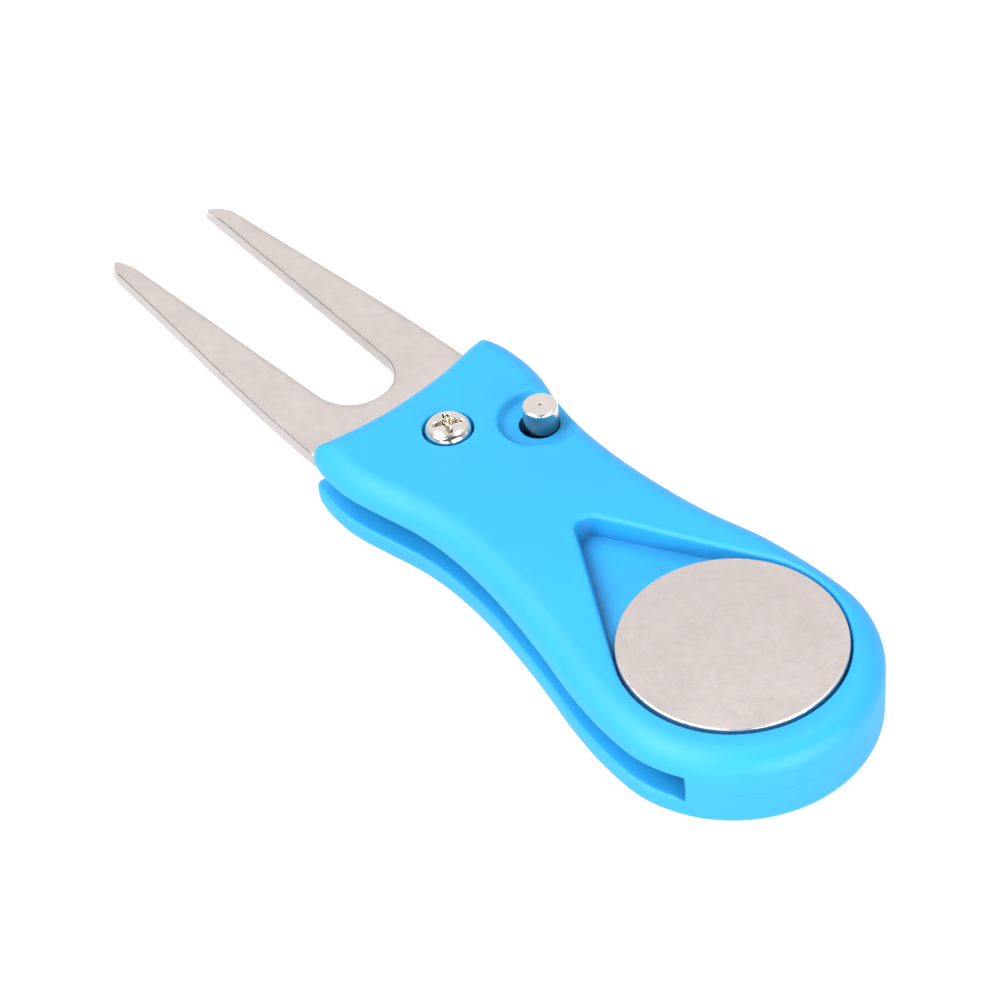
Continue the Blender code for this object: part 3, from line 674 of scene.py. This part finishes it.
def screw_mesh(name, head_radius, base, rim, rise, recess):
    """Domed screw head with a tapered cross recess."""
    reach, half, depth, turn = recess
    spin = np.array([[math.cos(turn), -math.sin(turn)], [math.sin(turn), math.cos(turn)]])
    cross = anticlockwise(cross_loop(reach, half) @ spin.T)
    edge_round = 0.5

    def top(points):
        radius = np.linalg.norm(points, axis=1)
        dome = rim + rise * np.sqrt(np.clip(1.0 - (radius / (head_radius * 1.06)) ** 2, 0.0, 1.0))
        z = dome - quarter(head_radius - radius, edge_round)
        inside = signed_distance(points, cross)
        centre_depth = depth * np.clip(1.25 - radius / reach * 0.9, 0.3, 1.0)
        share = pocket_share(inside, np.full(len(points), depth), 0.08, 0.16, 0.12)
        return z - centre_depth * share

    loops = [circle((0, 0), head_radius, 128)]
    loops += [circle((0, 0), head_radius - inset, 128) for inset in quarter_insets(edge_round, 6)]
    loops += [offset_loop(cross, inset) for inset in (-0.08, -0.05, -0.02, 0.0, 0.08, 0.16)]
    mesh = plan_mesh(name, loops, lambda p: np.linalg.norm(p, axis=1) < head_radius, 0.14, top,
                     lambda p: np.full(len(p), base))
    paint_recess_shade(mesh, cross)
    return mesh


def paint_recess_shade(mesh, cross):
    """Paint shade into the cross recess of a screw, stronger further in from the recess's edge."""
    count = len(mesh.vertices)
    spots = np.empty(count * 3)
    mesh.vertices.foreach_get("co", spots)
    depth = signed_distance(spots.reshape(-1, 3)[:, :2] / MM, cross)
    mesh.attributes.new("rim", "FLOAT", "POINT").data.foreach_set("value", np.clip(depth / 0.2, 0.0, 0.8))


def marker_profile():
    """Half section of the disc, which stands a little proud of the handle."""
    low, high = MARKER_LOW[2], MARKER_HIGH[2] + 0.14
    edge = 0.26
    corners = [(0.0, low), (MARKER_RADIUS, low), (MARKER_RADIUS, high), (0.0, high)]
    return rounded(corners, edge, 8)


def button_profile():
    """Half section of the button: collar, neck, and a stem with a small dimple in its top."""
    low, high = BUTTON_BOTTOM_Z, BUTTON_TOP_Z
    neck_top = 8.5
    collar = [(0.0, low), (COLLAR_RADIUS, low), (COLLAR_RADIUS, low + COLLAR_HEIGHT),
              (PIN_NECK, low + COLLAR_HEIGHT)]
    corners = [(PIN_NECK, neck_top), (PIN_RADIUS, neck_top), (PIN_RADIUS, high), (0.16, high)]
    dimple = [(0.13, high - 0.02), (0.1, high - 0.2), (0.0, high - 0.22)]
    return collar + rounded(corners, 0.36, 7) + dimple


# ---------------------------------------------------------------- materials

def node_material(name):
    material = bpy.data.materials.new(name)
    material.use_nodes = True
    nodes = material.node_tree.nodes
    return material, nodes, material.node_tree.links, nodes["Principled BSDF"]


def noise(nodes, links, scale, detail=3.0, roughness=0.5, stretch=(1.0, 1.0, 1.0), turn=0.0):
    place = nodes.new("ShaderNodeTexCoord")
    mapping = nodes.new("ShaderNodeMapping")
    mapping.inputs["Scale"].default_value = stretch
    mapping.inputs["Rotation"].default_value = (0.0, 0.0, turn)
    links.new(place.outputs["Object"], mapping.inputs["Vector"])
    texture = nodes.new("ShaderNodeTexNoise")
    texture.inputs["Scale"].default_value = scale
    texture.inputs["Detail"].default_value = detail
    texture.inputs["Roughness"].default_value = roughness
    links.new(mapping.outputs["Vector"], texture.inputs["Vector"])
    return texture.outputs["Fac"]


def remap(nodes, links, value, low_in, high_in, low, high):
    node = nodes.new("ShaderNodeMapRange")
    node.inputs["From Min"].default_value = low_in
    node.inputs["From Max"].default_value = high_in
    node.inputs["To Min"].default_value = low
    node.inputs["To Max"].default_value = high
    links.new(value, node.inputs["Value"])
    return node.outputs["Result"]


def mix_colour(nodes, links, factor, first, second):
    node = nodes.new("ShaderNodeMix")
    node.data_type = "RGBA"
    for socket, colour in ((node.inputs["A"], first), (node.inputs["B"], second)):
        if isinstance(colour, tuple):
            socket.default_value = (*colour, 1.0)
        else:
            links.new(colour, socket)
    links.new(factor, node.inputs["Factor"])
    return node.outputs["Result"]


def bump(nodes, links, height, strength, distance, before=None):
    node = nodes.new("ShaderNodeBump")
    node.inputs["Strength"].default_value = strength
    node.inputs["Distance"].default_value = distance
    links.new(height, node.inputs["Height"])
    if before:
        links.new(before, node.inputs["Normal"])
    return node.outputs["Normal"]


def plastic_material():
    """Satin moulded cyan plastic with a fine spark texture, and painted shade that darkens its hollows."""
    material, nodes, links, shader = node_material("handle_plastic")
    drift = noise(nodes, links, 60.0, 2.0)
    colour = mix_colour(nodes, links, remap(nodes, links, drift, 0.3, 0.7, 0.0, 1.0),
                        (0.010, 0.276, 0.600), (0.012, 0.290, 0.618))
    # painted shade: ambient occlusion mixes a dark blue into the base colour in hollows, creases and
    # recesses
    hollow = nodes.new("ShaderNodeAmbientOcclusion")
    hollow.only_local = True
    hollow.samples = 8
    hollow.inputs["Distance"].default_value = 0.0026
    depth = remap(nodes, links, hollow.outputs["AO"], 0.45, 0.95, 0.0, 1.0)
    colour = mix_colour(nodes, links, depth, (0.004, 0.125, 0.340), colour)
    links.new(colour, shader.inputs["Base Color"])
    grain = noise(nodes, links, 5200.0, 2.0, 0.6)
    links.new(remap(nodes, links, grain, 0.3, 0.7, 0.48, 0.58), shader.inputs["Roughness"])
    wave = bump(nodes, links, noise(nodes, links, 260.0, 2.0), 0.06, 0.0002)
    links.new(bump(nodes, links, grain, 0.10, 0.00004, wave), shader.inputs["Normal"])
    shader.inputs["Specular IOR Level"].default_value = 0.45
    shader.inputs["Subsurface Weight"].default_value = 0.12
    shader.inputs["Subsurface Radius"].default_value = (0.2, 0.6, 1.0)
    shader.inputs["Subsurface Scale"].default_value = 0.0012
    return material


def steel_material(name, light, dark, rough_low, rough_high, turn):
    """Tumbled stainless steel: faint clouds, scuffs, light scratches and a few pits."""
    material, nodes, links, shader = node_material(name)
    shader.inputs["Metallic"].default_value = 1.0
    clouds = noise(nodes, links, 170.0, 5.0, 0.62)
    blotch = remap(nodes, links, clouds, 0.36, 0.68, 0.0, 1.0)
    base = mix_colour(nodes, links, blotch, light, dark)
    pits = noise(nodes, links, 1300.0, 2.0, 0.4)
    specks = remap(nodes, links, pits, 0.80, 0.84, 0.0, 0.5)
    base = mix_colour(nodes, links, specks, base, tuple(channel * 0.45 for channel in dark))
    streaks = noise(nodes, links, 900.0, 2.0, 0.5, (1.0, 0.10, 1.0), turn + 0.6)
    nicks = remap(nodes, links, streaks, 0.66, 0.76, 0.0, 0.2)
    base = mix_colour(nodes, links, nicks, base, (0.93, 0.88, 0.86))
    # painted shade: the rim attribute darkens the fork's cut sides and the line along its upper edges
    rim = nodes.new("ShaderNodeAttribute")
    rim.attribute_name = "rim"
    base = mix_colour(nodes, links, rim.outputs["Fac"], base, (0.16, 0.15, 0.15))
    links.new(base, shader.inputs["Base Color"])
    scuffs = noise(nodes, links, 2600.0, 3.0, 0.7, (1.0, 0.22, 1.0), turn)
    fine = noise(nodes, links, 900.0, 4.0, 0.7)
    rough = remap(nodes, links, fine, 0.25, 0.75, rough_low, rough_high)
    links.new(rough, shader.inputs["Roughness"])
    first = bump(nodes, links, clouds, 0.014, 0.0001)
    links.new(bump(nodes, links, scuffs, 0.03, 0.00001, first), shader.inputs["Normal"])
    return material


def pin_material():
    """Nickel pin: polished top with painted shade in its small dimple, and painted shade that darkens its
    side towards its foot.
    """
    material, nodes, links, shader = node_material("pin_nickel")
    shader.inputs["Metallic"].default_value = 1.0
    place = nodes.new("ShaderNodeTexCoord")
    split = nodes.new("ShaderNodeSeparateXYZ")
    links.new(place.outputs["Object"], split.inputs["Vector"])
    foot, shoulder, rim = (BUTTON_TOP_Z * MM - below * MM for below in (2.6, 0.45, 0.3))
    height = remap(nodes, links, split.outputs["Z"], foot, shoulder, 0.0, 1.0)
    film = noise(nodes, links, 900.0, 3.0)
    # painted shade: the side's colour darkens from the shoulder down to the foot
    side = mix_colour(nodes, links, height, (0.24, 0.20, 0.19), (0.68, 0.60, 0.55))
    face = remap(nodes, links, split.outputs["Z"], shoulder, rim, 0.0, 1.0)
    polished = mix_colour(nodes, links, film, (0.93, 0.87, 0.82), (0.87, 0.81, 0.76))
    flat = nodes.new("ShaderNodeCombineXYZ")
    links.new(split.outputs["X"], flat.inputs["X"])
    links.new(split.outputs["Y"], flat.inputs["Y"])
    reach = nodes.new("ShaderNodeVectorMath")
    reach.operation = "LENGTH"
    links.new(flat.outputs["Vector"], reach.inputs[0])
    # painted shade in the dimple at the middle of the top
    painted_dimple_shade = remap(nodes, links, reach.outputs["Value"], 0.14 * MM, 0.24 * MM, 1.0, 0.0)
    polished = mix_colour(nodes, links, painted_dimple_shade, polished, (0.42, 0.36, 0.32))
    links.new(mix_colour(nodes, links, face, side, polished), shader.inputs["Base Color"])
    links.new(remap(nodes, links, film, 0.3, 0.7, 0.14, 0.24), shader.inputs["Roughness"])
    links.new(bump(nodes, links, film, 0.06, 0.00003), shader.inputs["Normal"])
    return material


def nickel_material():
    """Bright nickel plate, slightly warm, with a soft orange-peel ripple."""
    material, nodes, links, shader = node_material("nickel")
    shader.inputs["Metallic"].default_value = 1.0
    tint = remap(nodes, links, noise(nodes, links, 700.0, 3.0), 0.35, 0.65, 0.0, 1.0)
    plate = mix_colour(nodes, links, tint, (0.90, 0.86, 0.82), (0.84, 0.80, 0.755))
    # painted shade: the rim attribute tints the screw's cross recess dark brown
    recess = nodes.new("ShaderNodeAttribute")
    recess.attribute_name = "rim"
    base = mix_colour(nodes, links, recess.outputs["Fac"], plate, (0.30, 0.24, 0.17))
    links.new(base, shader.inputs["Base Color"])
    fine = noise(nodes, links, 2600.0, 3.0)
    links.new(remap(nodes, links, fine, 0.3, 0.7, 0.10, 0.20), shader.inputs["Roughness"])
    links.new(bump(nodes, links, noise(nodes, links, 900.0, 2.0), 0.10, 0.00003), shader.inputs["Normal"])
    return material


def wire_material():
    """Oiled spring wire with drawing marks."""
    material, nodes, links, shader = node_material("spring_wire")
    shader.inputs["Metallic"].default_value = 1.0
    marks = noise(nodes, links, 1800.0, 3.0)
    base = mix_colour(nodes, links, marks, (0.34, 0.34, 0.35), (0.22, 0.22, 0.23))
    links.new(base, shader.inputs["Base Color"])
    links.new(remap(nodes, links, marks, 0.3, 0.7, 0.28, 0.42), shader.inputs["Roughness"])
    links.new(bump(nodes, links, marks, 0.1, 0.00003), shader.inputs["Normal"])
    return material


def nylon_material():
    """Natural nylon, slightly cloudy."""
    material, nodes, links, shader = node_material("washer_nylon")
    cloud = noise(nodes, links, 500.0, 3.0)
    base = mix_colour(nodes, links, cloud, (0.84, 0.83, 0.78), (0.76, 0.74, 0.68))
    links.new(base, shader.inputs["Base Color"])
    links.new(remap(nodes, links, cloud, 0.3, 0.7, 0.42, 0.58), shader.inputs["Roughness"])
    links.new(bump(nodes, links, noise(nodes, links, 3000.0), 0.1, 0.00004), shader.inputs["Normal"])
    return material


def magnet_material():
    """Plated magnet face, duller than the screws."""
    material, nodes, links, shader = node_material("magnet_plate")
    shader.inputs["Metallic"].default_value = 1.0
    cloud = noise(nodes, links, 800.0, 4.0, 0.6)
    base = mix_colour(nodes, links, cloud, (0.55, 0.54, 0.52), (0.42, 0.41, 0.40))
    links.new(base, shader.inputs["Base Color"])
    links.new(remap(nodes, links, cloud, 0.3, 0.7, 0.22, 0.38), shader.inputs["Roughness"])
    links.new(bump(nodes, links, cloud, 0.1, 0.00004), shader.inputs["Normal"])
    return material


def floor_material():
    """Matt white studio floor, lit from within so that it stays pale."""
    material, nodes, links, shader = node_material("floor_paint")
    tone = noise(nodes, links, 8.0, 2.0)
    base = mix_colour(nodes, links, tone, (0.30, 0.30, 0.30), (0.32, 0.32, 0.32))
    links.new(base, shader.inputs["Base Color"])
    shader.inputs["Roughness"].default_value = 0.75
    shader.inputs["Emission Color"].default_value = (1.0, 1.0, 1.0, 1.0)
    shader.inputs["Emission Strength"].default_value = 0.76
    return material


# ---------------------------------------------------------------- stage, light and camera

CAMERA_TARGET = Vector((-16.374, -1.235, 6.2))
CAMERA_AZIMUTH = 53.383
CAMERA_ELEVATION = 43.823
CAMERA_ROLL = -5.627
CAMERA_DISTANCE = 352.0
CAMERA_LENS = 111.78
CAMERA_SENSOR = 36.0


def direction(azimuth, elevation):
    """Unit vector towards a bearing in degrees; 0 is -Y and 90 is +X."""
    a, e = math.radians(azimuth), math.radians(elevation)
    return Vector((math.sin(a) * math.cos(e), -math.cos(a) * math.cos(e), math.sin(e)))


def make_camera():
    data = bpy.data.cameras.new("camera")
    camera = bpy.data.objects.new("camera", data)
    bpy.context.scene.collection.objects.link(camera)
    back = direction(CAMERA_AZIMUTH, CAMERA_ELEVATION)
    right = Vector((math.cos(math.radians(CAMERA_AZIMUTH)), math.sin(math.radians(CAMERA_AZIMUTH)), 0.0))
    up = back.cross(right)
    roll = math.radians(CAMERA_ROLL)
    side = right * math.cos(roll) + up * math.sin(roll)
    rise = up * math.cos(roll) - right * math.sin(roll)
    place = (CAMERA_TARGET + back * CAMERA_DISTANCE) * MM
    camera.matrix_world = Matrix((side, rise, back)).transposed().to_4x4()
    camera.location = place
    data.lens = CAMERA_LENS
    data.sensor_width = CAMERA_SENSOR
    data.clip_start = 0.01
    data.clip_end = 20.0
    bpy.context.scene.camera = camera


def softbox(name, azimuth, elevation, distance, width, height, power):
    """Rectangular lamp that faces the object. Lengths are in metres and power is in watts."""
    data = bpy.data.lights.new(name, "AREA")
    data.shape = "RECTANGLE"
    data.size = width
    data.size_y = height
    data.energy = power
    lamp = bpy.data.objects.new(name, data)
    bpy.context.scene.collection.objects.link(lamp)
    back = direction(azimuth, elevation)
    lamp.location = back * distance
    lamp.rotation_mode = "QUATERNION"
    lamp.rotation_quaternion = back.to_track_quat("Z", "Y")


def lobe(nodes, links, towards, start, end, size):
    """Smooth patch of the surround, size at its middle and 0 outside it."""
    place = nodes.new("ShaderNodeTexCoord")
    dot = nodes.new("ShaderNodeVectorMath")
    dot.operation = "DOT_PRODUCT"
    dot.inputs[1].default_value = towards
    links.new(place.outputs["Generated"], dot.inputs[0])
    patch = nodes.new("ShaderNodeMapRange")
    patch.interpolation_type = "SMOOTHSTEP"
    for socket, value in (("From Min", start), ("From Max", end), ("To Min", 0.0), ("To Max", size)):
        patch.inputs[socket].default_value = value
    links.new(dot.outputs["Value"], patch.inputs["Value"])
    return patch.outputs["Result"]


def make_world():
    """Pale surround: a lit back panel, and a dimmer patch overhead on the camera's side."""
    world = bpy.data.worlds.new("studio")
    bpy.context.scene.world = world
    world.use_nodes = True
    nodes, links = world.node_tree.nodes, world.node_tree.links
    background = nodes["Background"]
    panel = lobe(nodes, links, direction(CAMERA_AZIMUTH + 180.0, 44.0), 0.30, 0.85, 0.34)
    dim = lobe(nodes, links, direction(CAMERA_AZIMUTH, 50.0), 0.35, 0.93, -0.40)
    total = nodes.new("ShaderNodeMath")
    total.operation = "ADD"
    links.new(panel, total.inputs[0])
    links.new(dim, total.inputs[1])
    level = nodes.new("ShaderNodeMath")
    level.operation = "ADD"
    level.inputs[1].default_value = 0.50
    links.new(total.outputs["Value"], level.inputs[0])
    background.inputs["Color"].default_value = (1.0, 0.985, 0.97, 1.0)
    links.new(level.outputs["Value"], background.inputs["Strength"])


def make_stage():
    form = bmesh.new()
    bmesh.ops.create_grid(form, x_segments=8, y_segments=8, size=3.0)
    mesh = bpy.data.meshes.new("floor")
    form.to_mesh(mesh)
    form.free()
    mesh.materials.append(floor_material())
    floor = bpy.data.objects.new("floor", mesh)
    floor.location.z = -0.0001
    bpy.context.scene.collection.objects.link(floor)
    softbox("key", CAMERA_AZIMUTH - 60.0, 46.0, 0.9, 0.60, 0.60, 10.5)
    softbox("front_fill", CAMERA_AZIMUTH + 34.0, 14.0, 1.0, 0.70, 0.40, 10.0)
    softbox("left_fill", CAMERA_AZIMUTH - 22.0, 8.0, 1.0, 0.60, 0.30, 2.2)
    softbox("left_window", CAMERA_AZIMUTH - 108.0, 66.0, 0.9, 0.24, 0.24, 3.2)
    softbox("right_window", CAMERA_AZIMUTH + 106.0, 65.0, 0.9, 0.20, 0.20, 2.0)


def main():
    make_camera()
    make_world()
    make_stage()
    bpy.context.scene.view_settings.view_transform = "Standard"

    plastic = plastic_material()
    fork_steel = steel_material("fork_steel", (0.785, 0.716, 0.697), (0.728, 0.670, 0.652),
                                0.28, 0.40, 0.0)
    marker_steel = steel_material("marker_steel", (0.775, 0.712, 0.698), (0.715, 0.660, 0.642),
                                  0.24, 0.36, 0.5)
    nickel = nickel_material()

    outline = handle_outline()
    slot = slot_outline()
    add_piece("upper_shell_skin", upper_shell_mesh(outline, slot), plastic, "handle",
              ["upper_shell"])
    add_piece("lower_shell_skin", lower_shell_mesh(outline, slot), plastic, "handle",
              ["lower_shell"])
    add_piece("fork_blade", fork_mesh(), fork_steel, "fork", ["fork"])
    add_piece("marker_disc", turned("marker_disc", marker_profile(), 192), marker_steel, "ball_marker",
              ["ball_marker"], MARKER)
    add_piece("button_pin", turned("button_pin", button_profile(), 96), pin_material(), "lock_button",
              ["lock_button"], BUTTON + PIN_PLAY)
    head = screw_mesh("pivot_screw_head", SCREW_HEAD, COUNTERBORE_Z + 0.3, TOP_Z - 0.12, SCREW_RISE,
                      SCREW_RECESS)
    add_piece("pivot_screw_head", head, nickel, "handle", ["pivot_screw"], SCREW_SEAT)
    shank = turned("pivot_screw_shank", [(0.0, 3.7), (1.1, 3.7), (1.4, 4.0), (1.4, 8.35), (0.0, 8.35)], 48)
    add_piece("pivot_screw_shank", shank, nickel, "handle", (), PIVOT)

    wire = wire_material()
    for node, material in (("torsion_spring", wire), ("button_spring", wire), ("pivot_nut", nickel),
                           ("shell_screw", nickel), ("marker_magnet", magnet_material()),
                           ("pivot_washer", nylon_material())):
        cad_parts[node].material_slots[0].material = material


main()
